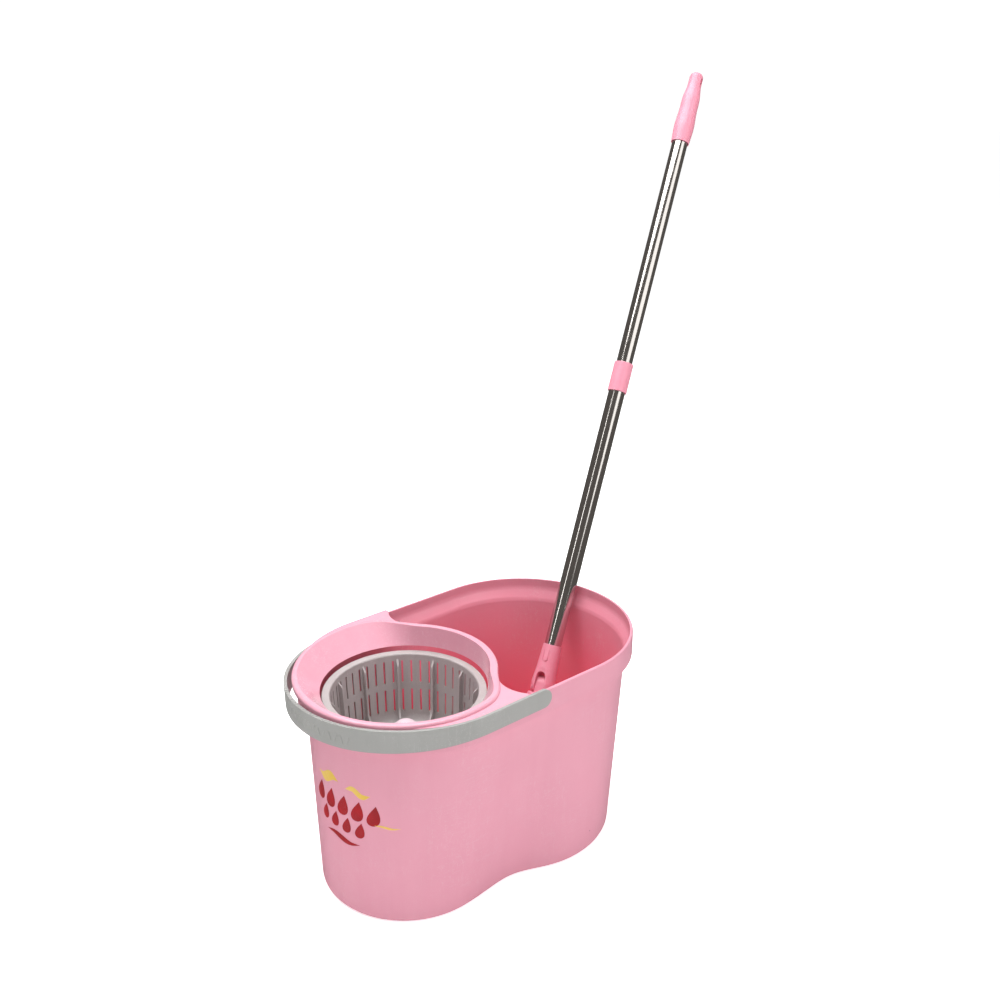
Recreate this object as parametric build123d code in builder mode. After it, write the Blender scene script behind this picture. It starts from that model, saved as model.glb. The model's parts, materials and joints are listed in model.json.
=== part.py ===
from build123d import *
import os
from math import atan2, cos, degrees, radians, sin

os.makedirs("parts", exist_ok=True)

# All sizes are in millimetres.  The origin is the middle of the bucket's underside.
# +X runs from the wringer basket to the rinsing end, +Z is up.

# Bucket
BUCKET_HEIGHT = 265
RIM_CENTRE = 80  # the rim's two end arcs are centred this far from the middle
RIM_RADIUS = 136
RIM_BAND = 28
RIM_WALL = 3.5
RIM_STEP = 9  # the band stands out from the body by this much
WALL = 2.4
FLOOR = 3
BASE_LEFT_X, BASE_LEFT_R = -99, 104
BASE_RIGHT_X, BASE_RIGHT_R = 65, 123
WAIST_PINCH = 13.4
FOOT_ROUND = 8
BAND_BOTTOM = BUCKET_HEIGHT - RIM_BAND
COVE_BOTTOM = BAND_BOTTOM + 2  # inside, the wall flares out to the band between these heights
COVE_TOP = BAND_BOTTOM + 16
COVE_ROUND = 12

# Wringer basket and the pin that it turns on
BASKET_X = -98
BASKET_RIM_R = 94
BASKET_RIM_Z = 241.6
BASKET_FLOOR_Z = 150
BASKET_SKIN = 2.4
RIB_COUNT = 12
SLOT_COUNT = 48
SLOT_WIDTH = 2.3
SLOT_HEIGHT = 30
UPPER_SLOT_Z = 218
LOWER_SLOT_Z = 179.5
POST_TOP = 128
POST_FOOT_R, POST_HEAD_R, POST_WALL = 31, 14, 3
POST_CAP = 18  # solid at the top, where the pin is pressed in
PIN_R = 4
PIN_DEPTH = 16
PIN_TOP = 182
BUSH_R = 9
BUSH_BOTTOM, BUSH_TOP = 131, 175
NUT_ACROSS_R = 7.2
HUB_R = 11.5
HUB_TOP = 192
CAP_R, CAP_TOP = 14.8, 200.5
CAP_PLUG = 7
RUNNING_GAP = 0.05

# Funnel ring over the basket
OPENING_R = 95.5
OPENING_Z = 247
CREST_BACK_R = 125.5
CREST_NOSE_R = 107
CREST_Z = 272
FUNNEL_TOP_R = 114.2
WEB_TOP = 268
WING_X = -27
WING_ARC_R = 40
WING_ARC_ANGLE = 45.9

# Bail handle
HANDLE_R = 143
HANDLE_CENTRE_X = -88
HANDLE_THICK = 4
HANDLE_MIDDLE_TALL = 27
HANDLE_ARM_TALL = 21.5
HANDLE_TAPER_X = -103  # the depth grows from here to the middle of the bail
HANDLE_Z = 253.5  # along the bucket's centre line
HANDLE_ROLL = 2.9  # its -Y arm rides higher than its +Y arm
PIVOT_X = -12.5
PIVOT_R = 3
GRIP_NOTCHES = 34
NOTCH_R = 0.9
NOTCH_SPAN = 64

# Mop: the tilt pivot, and the pole's lean away from upright
MOP_PIVOT = (133.7, 17.5, 154.8)
LEAN = 29.68
LEAN_HEADING = 19.15
HEAD_R = 78
HEAD_TOP = -56  # heights along the pole are counted from the tilt pivot
REFILL_BOTTOM = -66
YARN_R = 78
YARN_CENTRE = (100, 5)
YARN_BOTTOM = 3.4
TONGUE_HALF = 6.2
TONGUE_R = 9
SLOT_HALF = 6.5
TILT_PIN_R = 3
SHANK_R = 12

LOWER_TUBE_R = 11.1
UPPER_TUBE_R = 10.6
TUBE_WALL = 0.4
TUBE_BOTTOM = 24
CONNECTOR_TOP = 51
LATCH_TOP, LATCH_MIDDLE = 44, 32
LATCH_R, LATCH_GROOVE = 4.2, 1.5
COLLAR_BOTTOM = 396
COLLAR_TOP = 436
LOWER_TUBE_TOP = 420
UPPER_TUBE_BOTTOM = 299.5
UPPER_TUBE_TOP = 770
GRIP_BOTTOM = 749
GRIP_TOP = 850
PLUG_TOP = 44
ROD_R = 2.5
ROD_TOP = 327
RIDGE_R = 1.1
RIDGE_START = PLUG_TOP + 1
RIDGE_HEIGHT = ROD_TOP - PLUG_TOP - 10
SPIRAL_PITCH = 90
NUT_BOTTOM = 305.5
NUT_TOP = 318.8
NUT_BORE_R = 4.3
TOOTH = 1.2
RATCHET_TEETH = 12
COLLET_R = 11.6
GUIDE_BOTTOM = 290

lean_sin, lean_cos = sin(radians(LEAN)), cos(radians(LEAN))
heading_sin, heading_cos = sin(radians(LEAN_HEADING)), cos(radians(LEAN_HEADING))

# Along the pole: local Z points up the pole, local X the way that it leans.
POLE = Plane(
    origin=MOP_PIVOT,
    x_dir=(lean_cos * heading_cos, lean_cos * heading_sin, -lean_sin),
    z_dir=(lean_sin * heading_cos, lean_sin * heading_sin, lean_cos),
)
POLE_AXIS = Axis(POLE.origin, POLE.z_dir)
POLE_SIDE = Plane(origin=POLE.origin, x_dir=POLE.x_dir, z_dir=-POLE.y_dir)
POLE_FRONT = Plane(origin=POLE.origin, x_dir=POLE.y_dir, z_dir=POLE.x_dir)

BASKET_SIDE = Plane(origin=(BASKET_X, 0, 0), x_dir=(1, 0, 0), z_dir=(0, -1, 0))
BASKET_AXIS = Axis((BASKET_X, 0, 0), (0, 0, 1))

# The bail handle lies in this plane, and turns about the line through its two pivots.
roll_sin, roll_cos = sin(radians(HANDLE_ROLL)), cos(radians(HANDLE_ROLL))
HANDLE_PLANE = Plane(origin=(0, 0, HANDLE_Z), x_dir=(1, 0, 0), z_dir=(0, roll_sin, roll_cos))
HANDLE_SIDE = Plane(origin=(0, 0, HANDLE_Z), x_dir=(1, 0, 0), z_dir=(0, -roll_cos, roll_sin))


def save(builder, name):
    """Label a finished piece and write it as its own file."""
    builder.part.label = name
    export_step(builder.part, f"parts/{name}.step")


def oval(height, left_x, left_r, right_x, right_r, pinch=0):
    """Two end arcs joined by sides that draw in by the pinch halfway along."""
    waist = ((left_x + right_x) / 2, (left_r + right_r) / 2 - pinch)
    with BuildSketch(Plane.XY.offset(height)) as outline:
        with BuildLine():
            far_side = Spline((left_x, left_r), waist, (right_x, right_r), tangents=((1, 0), (1, 0)))
            ThreePointArc(far_side @ 1, (right_x + right_r, 0), (right_x, -right_r))
            mirror(far_side, about=Plane.XZ)
            ThreePointArc((left_x, -left_r), (left_x - left_r, 0), far_side @ 0)
        make_face()
    return outline.sketch


def body_outline(height, inset):
    """The bucket body's outline at a height: its ends grow towards the rim as the waist fades out."""
    rise = height / BAND_BOTTOM
    top_radius = RIM_RADIUS - RIM_STEP
    left_x = BASE_LEFT_X + (-RIM_CENTRE - BASE_LEFT_X) * rise
    right_x = BASE_RIGHT_X + (RIM_CENTRE - BASE_RIGHT_X) * rise
    left_r = BASE_LEFT_R + (top_radius - BASE_LEFT_R) * rise - inset
    right_r = BASE_RIGHT_R + (top_radius - BASE_RIGHT_R) * rise - inset
    return oval(height, left_x, left_r, right_x, right_r, WAIST_PINCH * max(0, 1 - rise))


def rim_outline(height, radius):
    """The rim's outline at a height: a straight-sided oval with round ends."""
    return oval(height, -RIM_CENTRE, radius, RIM_CENTRE, radius)


def egg_outline(height, back_radius, nose_radius):
    """Outline round the basket: a wide arc at the back, a narrower nose towards the rinsing end."""
    with BuildSketch(Plane.XY.offset(height)) as outline:
        with BuildLine():
            back = CenterArc((BASKET_X, 0), back_radius, 80, 200)
            nose = CenterArc((BASKET_X, 0), nose_radius, -42, 84)
            Spline(back @ 1, nose @ 0, tangents=(back % 1, nose % 0))
            Spline(nose @ 1, back @ 0, tangents=(nose % 1, back % 0))
        make_face()
    return outline.sketch


# ---------------------------------------------------------------- bucket

with BuildPart() as cavity:
    loft([body_outline(FLOOR, WALL), body_outline(COVE_BOTTOM, WALL)], ruled=True)
    fillet(cavity.faces().sort_by(Axis.Z)[0].edges(), FOOT_ROUND - WALL)
    loft([body_outline(COVE_BOTTOM, WALL), rim_outline(COVE_TOP, RIM_RADIUS - RIM_WALL)], ruled=True)
    extrude(rim_outline(COVE_TOP, RIM_RADIUS - RIM_WALL), amount=RIM_BAND)
    cove_edges = cavity.edges().filter_by_position(Axis.Z, COVE_BOTTOM - 1, COVE_TOP + 1)
    fillet(cove_edges, COVE_ROUND)

with BuildPart() as bucket:
    loft([body_outline(0, 0), body_outline(BAND_BOTTOM, 0)], ruled=True)
    fillet(bucket.faces().sort_by(Axis.Z)[0].edges(), FOOT_ROUND)
    extrude(rim_outline(BAND_BOTTOM, RIM_RADIUS), amount=RIM_BAND)
    fillet(bucket.faces().sort_by(Axis.Z)[-1].edges(), 1.5)
    add(cavity.part, mode=Mode.SUBTRACT)
    # Moulded post under the basket, hollow from below, and bored for the pin
    with BuildSketch(BASKET_SIDE):
        Polygon((0, FLOOR - 1), (POST_FOOT_R, FLOOR - 1), (POST_HEAD_R, POST_TOP), (0, POST_TOP), align=None)
    revolve(axis=BASKET_AXIS)
    with BuildSketch(BASKET_SIDE):
        Polygon((0, 0), (POST_FOOT_R - POST_WALL, 0), (POST_HEAD_R - POST_WALL, POST_TOP - POST_CAP),
                (0, POST_TOP - POST_CAP), align=None)
    revolve(axis=BASKET_AXIS, mode=Mode.SUBTRACT)
    with BuildSketch(Plane.XY.offset(POST_TOP).move(Location((BASKET_X, 0, 0)))):
        Circle(PIN_R)
    extrude(amount=-PIN_DEPTH, mode=Mode.SUBTRACT)
    # Holes in the band for the bail handle's pivots
    with BuildSketch(HANDLE_SIDE):
        with Locations((PIVOT_X, 0)):
            Circle(PIVOT_R + RUNNING_GAP)
    extrude(amount=RIM_RADIUS + 5, both=True, mode=Mode.SUBTRACT)
save(bucket, "bucket")

with BuildPart() as axle_pin:
    with BuildSketch(Plane.XY.offset(POST_TOP - PIN_DEPTH).move(Location((BASKET_X, 0, 0)))):
        Circle(PIN_R)
    extrude(amount=PIN_TOP - POST_TOP + PIN_DEPTH)
    chamfer(axle_pin.edges().sort_by(Axis.Z)[-1], 0.8)
save(axle_pin, "axle_pin")

with BuildPart() as thrust_washer:
    with BuildSketch(Plane.XY.offset(POST_TOP).move(Location((BASKET_X, 0, 0)))):
        Circle(BUSH_R + 2)
        Circle(PIN_R, mode=Mode.SUBTRACT)
    extrude(amount=1.6)
save(thrust_washer, "thrust_washer")

with BuildPart() as axle_nut:
    with BuildSketch(Plane.XY.offset(BUSH_TOP + 0.5).move(Location((BASKET_X, 0, 0)))):
        RegularPolygon(NUT_ACROSS_R, 6)
        Circle(PIN_R, mode=Mode.SUBTRACT)
    extrude(amount=5)
save(axle_nut, "axle_nut")

# ---------------------------------------------------------------- funnel ring

with BuildPart() as funnel_ring:
    # Flat web on the rim, with a wing along each side of the rinsing opening
    with BuildSketch(Plane.XY.offset(BUCKET_HEIGHT)):
        SlotCenterToCenter(2 * RIM_CENTRE, 2 * RIM_RADIUS)
        with Locations((WING_X, 0)):
            Rectangle(400, 400, align=(Align.MIN, Align.CENTER), mode=Mode.SUBTRACT)
        reach = CREST_NOSE_R + WING_ARC_R
        for side in (-1, 1):
            with Locations((BASKET_X + reach * cos(radians(WING_ARC_ANGLE)),
                            side * reach * sin(radians(WING_ARC_ANGLE)))):
                Circle(WING_ARC_R, mode=Mode.SUBTRACT)
    extrude(amount=WEB_TOP - BUCKET_HEIGHT)
    # Locating lip inside the rim
    with BuildSketch(Plane.XY.offset(BUCKET_HEIGHT)):
        SlotCenterToCenter(2 * RIM_CENTRE, 2 * (RIM_RADIUS - RIM_WALL - 0.2))
        SlotCenterToCenter(2 * RIM_CENTRE, 2 * (RIM_RADIUS - RIM_WALL - 2.2), mode=Mode.SUBTRACT)
        with Locations((WING_X - 8, 0)):
            Rectangle(400, 400, align=(Align.MIN, Align.CENTER), mode=Mode.SUBTRACT)
    extrude(amount=-10)
    # Raised crest, rolled over on the outside
    extrude(egg_outline(BUCKET_HEIGHT, CREST_BACK_R, CREST_NOSE_R), amount=CREST_Z - BUCKET_HEIGHT)
    fillet(funnel_ring.faces().sort_by(Axis.Z)[-1].edges(), 3.4)
    # Funnel wall down to the opening
    loft([egg_outline(BUCKET_HEIGHT, FUNNEL_TOP_R, CREST_NOSE_R - 4),
          egg_outline(OPENING_Z, OPENING_R + 2.2, OPENING_R + 2.2)], ruled=True)
    loft([egg_outline(CREST_Z + 2, CREST_BACK_R - 4.3, CREST_NOSE_R - 9),
          egg_outline(OPENING_Z - 1, OPENING_R - 1, OPENING_R - 0.4)], ruled=True, mode=Mode.SUBTRACT)
save(funnel_ring, "funnel_ring")

# ---------------------------------------------------------------- wringer basket


def basket_profile():
    """Half section of the basket, from its hub tube out to its flange."""
    under = BASKET_FLOOR_Z - BASKET_SKIN
    return [
        ((BUSH_R, BUSH_BOTTOM), 0), ((HUB_R, BUSH_BOTTOM), 0), ((HUB_R, HUB_TOP - 5), 0),
        ((14.6, HUB_TOP - 5), 2), ((33, under), 4),
        ((83.8, under), 14), ((86.4, 238.6), 2), ((BASKET_RIM_R, 238.6), 0),
        ((BASKET_RIM_R, BASKET_RIM_Z), 1.2), ((84.8, BASKET_RIM_Z), 2),
        ((81.4, BASKET_FLOOR_Z), 12), ((36, BASKET_FLOOR_Z), 4), ((17, HUB_TOP), 2), ((BUSH_R, HUB_TOP), 0),
    ]


def basket_plane(angle):
    """Upright plane through the basket's axis, turned by an angle."""
    turn = radians(angle)
    return Plane(origin=(BASKET_X, 0, 0), x_dir=(cos(turn), sin(turn), 0), z_dir=(sin(turn), -cos(turn), 0))


with BuildPart() as basket:
    with BuildSketch(BASKET_SIDE):
        with BuildLine():
            FilletPolyline([point for point, _ in basket_profile()],
                           radius=[radius for _, radius in basket_profile()], close=True)
        make_face()
    revolve(axis=BASKET_AXIS)
    # Fins that stand in from the wall and run out on the floor
    for index in range(RIB_COUNT):
        with BuildSketch(basket_plane(index * 360 / RIB_COUNT)):
            with BuildLine():
                FilletPolyline((85.4, 236), (79, 228), (76.5, 168), (60, 151), (60, 148.8), (70, 148.8),
                               (83, 163), radius=[0, 6, 10, 0, 0, 0, 0], close=True)
            make_face()
        extrude(amount=1.2, both=True)
    # Two rows of upright slots in the wall
    for index in range(SLOT_COUNT):
        turn = radians((index + 0.5) * 360 / SLOT_COUNT)
        outward = Plane(origin=(BASKET_X, 0, 0), x_dir=(-sin(turn), cos(turn), 0),
                        z_dir=(cos(turn), sin(turn), 0))
        with BuildSketch(outward.offset(80)):
            with Locations((0, UPPER_SLOT_Z), (0, LOWER_SLOT_Z)):
                SlotOverall(SLOT_HEIGHT, SLOT_WIDTH, rotation=90)
    extrude(amount=9, both=True, mode=Mode.SUBTRACT)
    # Drain slots where the wall curves into the floor
    with BuildSketch(Plane.XY.offset(BASKET_FLOOR_Z + 12)):
        with Locations((BASKET_X, 0)):
            with PolarLocations(67, SLOT_COUNT, start_angle=180 / SLOT_COUNT):
                SlotOverall(16, SLOT_WIDTH)
    extrude(amount=-18, mode=Mode.SUBTRACT)
save(basket, "basket")

with BuildPart() as hub_bush:
    with BuildSketch(Plane.XY.offset(BUSH_BOTTOM).move(Location((BASKET_X, 0, 0)))):
        Circle(BUSH_R)
        Circle(PIN_R + RUNNING_GAP, mode=Mode.SUBTRACT)
    extrude(amount=BUSH_TOP - BUSH_BOTTOM)
save(hub_bush, "hub_bush")

with BuildPart() as hub_cap:
    with BuildSketch(BASKET_SIDE):
        with BuildLine():
            Polyline((0, HUB_TOP), (0, CAP_TOP))
            ThreePointArc((0, CAP_TOP), (CAP_R * 0.67, HUB_TOP + 5.6), (CAP_R, HUB_TOP))
            Polyline((CAP_R, HUB_TOP), (0, HUB_TOP))
        make_face()
        with Locations((0, HUB_TOP)):
            Rectangle(BUSH_R, CAP_PLUG, align=(Align.MIN, Align.MAX))
    revolve(axis=BASKET_AXIS)
save(hub_cap, "hub_cap")

# ---------------------------------------------------------------- bail handle

with BuildPart(HANDLE_PLANE) as bail_handle:
    with BuildSketch(HANDLE_PLANE):
        reach = PIVOT_X + HANDLE_ARM_TALL / 2 - HANDLE_CENTRE_X
        with Locations((HANDLE_CENTRE_X, 0)):
            Circle(HANDLE_R)
            Rectangle(reach, 2 * HANDLE_R, align=(Align.MIN, Align.CENTER))
            Circle(HANDLE_R - HANDLE_THICK, mode=Mode.SUBTRACT)
            Rectangle(reach + HANDLE_R, 2 * (HANDLE_R - HANDLE_THICK), align=(Align.MIN, Align.CENTER),
                      mode=Mode.SUBTRACT)
    extrude(amount=HANDLE_MIDDLE_TALL / 2, both=True)
    # Seen from the side: round ends on the pivots, even arms, deeper towards the middle of the bail
    with BuildSketch(HANDLE_SIDE):
        with Locations((PIVOT_X, 0)):
            Circle(HANDLE_ARM_TALL / 2)
        with BuildLine():
            Polyline((PIVOT_X, HANDLE_ARM_TALL / 2), (HANDLE_TAPER_X, HANDLE_ARM_TALL / 2),
                     (HANDLE_CENTRE_X - HANDLE_R, HANDLE_MIDDLE_TALL / 2), (HANDLE_CENTRE_X - HANDLE_R, 0),
                     (PIVOT_X, 0), close=True)
        make_face()
        mirror(about=Plane.XZ)
    extrude(amount=HANDLE_R + 5, both=True, mode=Mode.INTERSECT)
    # Finger notches along the top edge in the middle of the bail
    with Locations((HANDLE_CENTRE_X, 0, HANDLE_MIDDLE_TALL / 2)):
        with PolarLocations(HANDLE_R - HANDLE_THICK / 2, GRIP_NOTCHES, start_angle=180 - NOTCH_SPAN / 2,
                            angular_range=NOTCH_SPAN):
            Cylinder(NOTCH_R, 10, rotation=(0, 90, 0), mode=Mode.SUBTRACT)
    # Pivot studs, through the band and just proud of it inside
    stud_end = RIM_RADIUS - RIM_WALL - 1.5
    for side in (-1, 1):
        with BuildSketch(HANDLE_SIDE.offset(side * stud_end)):
            with Locations((PIVOT_X, 0)):
                Circle(PIVOT_R)
        extrude(amount=side * (HANDLE_R - HANDLE_THICK / 2 - stud_end))
save(bail_handle, "bail_handle")

# ---------------------------------------------------------------- mop head


def ring_on_pole(bottom, top, outer, inner=0):
    """A plain ring or disc round the pole's axis, as a finished solid."""
    with BuildPart() as ring:
        with BuildSketch(POLE.offset(bottom)):
            Circle(outer)
            if inner:
                Circle(inner, mode=Mode.SUBTRACT)
        extrude(amount=top - bottom)
    return ring


with BuildPart() as head_plate:
    with BuildSketch(POLE_SIDE):
        with BuildLine():
            FilletPolyline((SHANK_R + RUNNING_GAP, -60), (74, -60), (74, REFILL_BOTTOM),
                           (HEAD_R, REFILL_BOTTOM), (HEAD_R, HEAD_TOP - 3), (70, HEAD_TOP), (26, HEAD_TOP),
                           (20, -44), (SHANK_R + RUNNING_GAP, -44),
                           radius=[0, 0, 0, 0, 3, 4, 8, 2, 0], close=True)
        make_face()
    revolve(axis=POLE_AXIS)
    # Stiffening ribs on top, from the boss to the edge
    for index in range(8):
        turn = radians(index * 45 + 22.5)
        rib_direction = POLE.x_dir * cos(turn) + POLE.y_dir * sin(turn)
        rib_normal = POLE.x_dir * sin(turn) - POLE.y_dir * cos(turn)
        with BuildSketch(Plane(origin=POLE.origin, x_dir=rib_direction, z_dir=rib_normal)):
            Polygon((18, -58), (72, -58), (70, -54.8), (24, -47), (18, -47), align=None)
        extrude(amount=1, both=True)
save(head_plate, "head_plate")

refill_ring = ring_on_pole(REFILL_BOTTOM, -60, 73.8, 60)
save(refill_ring, "refill_ring")

with BuildPart() as microfiber_yarn:
    with BuildSketch(Plane.XY.offset(YARN_BOTTOM)):
        with Locations(YARN_CENTRE):
            Circle(YARN_R)
    extrude(amount=200)
    split(bisect_by=POLE.offset(REFILL_BOTTOM), keep=Keep.BOTTOM)
    with BuildSketch(POLE.offset(REFILL_BOTTOM)):
        Circle(24)
    extrude(amount=-6, mode=Mode.SUBTRACT)
save(microfiber_yarn, "microfiber_yarn")

with BuildPart() as swivel_neck:
    with BuildSketch(POLE_SIDE):
        Polygon((0, -62), (SHANK_R, -62), (SHANK_R, -43.6), (20, -43.6), (20, -40), (17, -15), (15.5, -13.6),
                (0, -13.6), align=None)
    revolve(axis=POLE_AXIS)
    with BuildSketch(POLE_SIDE):
        Circle(TONGUE_R)
        Rectangle(2 * TONGUE_R, 14.5, align=(Align.CENTER, Align.MAX))
    extrude(amount=TONGUE_HALF, both=True)
    with BuildSketch(POLE_SIDE):
        Circle(TILT_PIN_R)
    extrude(amount=20, both=True, mode=Mode.SUBTRACT)
    with BuildSketch(POLE.offset(-62)):
        Circle(2.5)
    extrude(amount=13, mode=Mode.SUBTRACT)
save(swivel_neck, "swivel_neck")

with BuildPart() as tilt_pin:
    with BuildSketch(POLE_SIDE):
        Circle(TILT_PIN_R)
    extrude(amount=13.5, both=True)
save(tilt_pin, "tilt_pin")

neck_retainer = ring_on_pole(-65, -62, 17, 2.5)
save(neck_retainer, "neck_retainer")

with BuildPart() as retainer_screw:
    with BuildSketch(POLE.offset(-65)):
        Circle(2.5)
    extrude(amount=14)
    with BuildSketch(POLE.offset(-67.5)):
        Circle(5)
    extrude(amount=2.5)
    with BuildSketch(POLE.offset(-67.5)):
        Rectangle(8, 1)
        Rectangle(1, 8)
    extrude(amount=1.4, mode=Mode.SUBTRACT)
save(retainer_screw, "retainer_screw")

# ---------------------------------------------------------------- pole

with BuildPart() as pole_connector:
    with BuildSketch(POLE_SIDE):
        Polygon((0, -14), (14, -14), (15.6, 0), (13.6, 22), (12.2, CONNECTOR_TOP), (0, CONNECTOR_TOP),
                align=None)
    revolve(axis=POLE_AXIS)
    # Fork ears: narrowed the way that they tilt, and round at the bottom
    with BuildSketch(POLE_SIDE):
        Circle(13)
        Rectangle(26, 19, align=(Align.CENTER, Align.MIN))
        with Locations((0, 19)):
            Rectangle(60, 60, align=(Align.CENTER, Align.MIN))
    extrude(amount=30, both=True, mode=Mode.INTERSECT)
    # Arched slot for the neck's tongue
    with BuildSketch(POLE_FRONT):
        with Locations((0, 8.5)):
            Circle(SLOT_HALF)
            Rectangle(2 * SLOT_HALF, 30, align=(Align.CENTER, Align.MAX))
    extrude(amount=30, both=True, mode=Mode.SUBTRACT)
    with BuildSketch(POLE_SIDE):
        Circle(TILT_PIN_R + RUNNING_GAP)
    extrude(amount=30, both=True, mode=Mode.SUBTRACT)
    # Socket for the lower tube
    with BuildSketch(POLE.offset(TUBE_BOTTOM)):
        Circle(LOWER_TUBE_R)
    extrude(amount=CONNECTOR_TOP - TUBE_BOTTOM, mode=Mode.SUBTRACT)
    # U-shaped groove round the latch tongue
    latch_inner = LATCH_R - LATCH_GROOVE
    with BuildSketch(POLE_FRONT.offset(-16)):
        with Locations((0, LATCH_TOP)):
            Rectangle(2 * LATCH_R, LATCH_TOP - LATCH_MIDDLE, align=(Align.CENTER, Align.MAX))
        with Locations((0, LATCH_MIDDLE)):
            Circle(LATCH_R)
            Circle(latch_inner, mode=Mode.SUBTRACT)
            Rectangle(2 * latch_inner, LATCH_TOP - LATCH_MIDDLE, align=(Align.CENTER, Align.MIN),
                      mode=Mode.SUBTRACT)
    extrude(amount=4.5, mode=Mode.SUBTRACT)
save(pole_connector, "pole_connector")

lower_tube = ring_on_pole(TUBE_BOTTOM, LOWER_TUBE_TOP, LOWER_TUBE_R, LOWER_TUBE_R - TUBE_WALL)
save(lower_tube, "lower_tube")

base_plug = ring_on_pole(TUBE_BOTTOM, PLUG_TOP, LOWER_TUBE_R - TUBE_WALL, ROD_R)
save(base_plug, "base_plug")

with BuildPart() as spiral_rod:
    with BuildSketch(POLE.offset(TUBE_BOTTOM)):
        Circle(ROD_R)
    extrude(amount=ROD_TOP - TUBE_BOTTOM)
    with BuildLine():
        ridge = Helix(pitch=SPIRAL_PITCH, height=RIDGE_HEIGHT, radius=ROD_R,
                      center=POLE.offset(RIDGE_START).origin, direction=POLE.z_dir)
    with BuildSketch(Plane(origin=ridge @ 0, z_dir=ridge % 0)):
        Circle(RIDGE_R)
    sweep(path=ridge, is_frenet=True)
save(spiral_rod, "spiral_rod")

rod_stop = ring_on_pole(NUT_TOP + 1.7, ROD_TOP, 7, ROD_R)
save(rod_stop, "rod_stop")

with BuildPart() as collet:
    with BuildSketch(POLE.offset(LOWER_TUBE_TOP - 8)):
        Circle(COLLET_R)
        Circle(LOWER_TUBE_R, mode=Mode.SUBTRACT)
    extrude(amount=8)
    with BuildSketch(POLE.offset(LOWER_TUBE_TOP)):
        Circle(COLLET_R)
        Circle(UPPER_TUBE_R + 2 * RUNNING_GAP, mode=Mode.SUBTRACT)
    extrude(amount=12.5)
    # Saw cuts that let the collet close on the upper tube
    with BuildSketch(POLE.offset(LOWER_TUBE_TOP + 2)):
        with PolarLocations(COLLET_R, 4):
            Rectangle(4, 1.4)
    extrude(amount=11, mode=Mode.SUBTRACT)
save(collet, "collet")

with BuildPart() as collar_nut:
    with BuildSketch(POLE_SIDE):
        with BuildLine():
            FilletPolyline((COLLET_R + RUNNING_GAP, COLLAR_BOTTOM), (12.7, COLLAR_BOTTOM), (12.7, COLLAR_TOP),
                           (UPPER_TUBE_R + 0.3, COLLAR_TOP), (UPPER_TUBE_R + 0.3, COLLAR_TOP - 2.6),
                           (COLLET_R + RUNNING_GAP, COLLAR_TOP - 3),
                           radius=[0, 0.4, 1.2, 0, 0, 0], close=True)
        make_face()
    revolve(axis=POLE_AXIS)
save(collar_nut, "collar_nut")

# ---------------------------------------------------------------- spin drive, inside the pole

guide_bush = ring_on_pole(GUIDE_BOTTOM, UPPER_TUBE_BOTTOM - 0.2, LOWER_TUBE_R - TUBE_WALL - RUNNING_GAP, 5.5)
save(guide_bush, "guide_bush")

with BuildPart() as clutch_spring:
    with BuildLine():
        coil = Helix(pitch=2, height=4, radius=8, center=POLE.offset(UPPER_TUBE_BOTTOM + 0.6).origin,
                     direction=POLE.z_dir)
    with BuildSketch(Plane(origin=coil @ 0, z_dir=coil % 0)):
        Circle(0.6)
    sweep(path=coil, is_frenet=True)
save(clutch_spring, "clutch_spring")


with BuildPart() as drive_nut:
    with BuildSketch(POLE.offset(NUT_BOTTOM)):
        Circle(9.9)
        Circle(NUT_BORE_R, mode=Mode.SUBTRACT)
    extrude(amount=NUT_TOP - NUT_BOTTOM)
    with BuildSketch(POLE.offset(NUT_TOP)):
        with PolarLocations(8.7, RATCHET_TEETH):
            Rectangle(2, 2.2)
    extrude(amount=TOOTH)
    # Three lugs that reach in between the turns of the rod's ridge
    lug_height = 3
    lug_middle = (NUT_BOTTOM + NUT_TOP) / 2
    ridge_point = POLE.to_local_coords(ridge @ ((lug_middle - RIDGE_START) / RIDGE_HEIGHT))
    ridge_angle = degrees(atan2(ridge_point.Y, ridge_point.X))
    with BuildSketch(POLE.offset(lug_middle - lug_height / 2)):
        with PolarLocations(3.9, 3, start_angle=ridge_angle + 60):
            Rectangle(2, 1.4)
    extrude(amount=lug_height)
save(drive_nut, "drive_nut")

with BuildPart() as ratchet_ring:
    ring_bottom = NUT_TOP + 2 * TOOTH + 0.3
    with BuildSketch(POLE.offset(ring_bottom)):
        Circle(UPPER_TUBE_R - TUBE_WALL)
        Circle(7.5, mode=Mode.SUBTRACT)
    extrude(amount=6)
    with BuildSketch(POLE.offset(ring_bottom)):
        with PolarLocations(8.8, RATCHET_TEETH):
            Rectangle(2, 2.2)
    extrude(amount=-TOOTH)
save(ratchet_ring, "ratchet_ring")

upper_tube = ring_on_pole(UPPER_TUBE_BOTTOM, UPPER_TUBE_TOP, UPPER_TUBE_R, UPPER_TUBE_R - TUBE_WALL)
save(upper_tube, "upper_tube")

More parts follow.
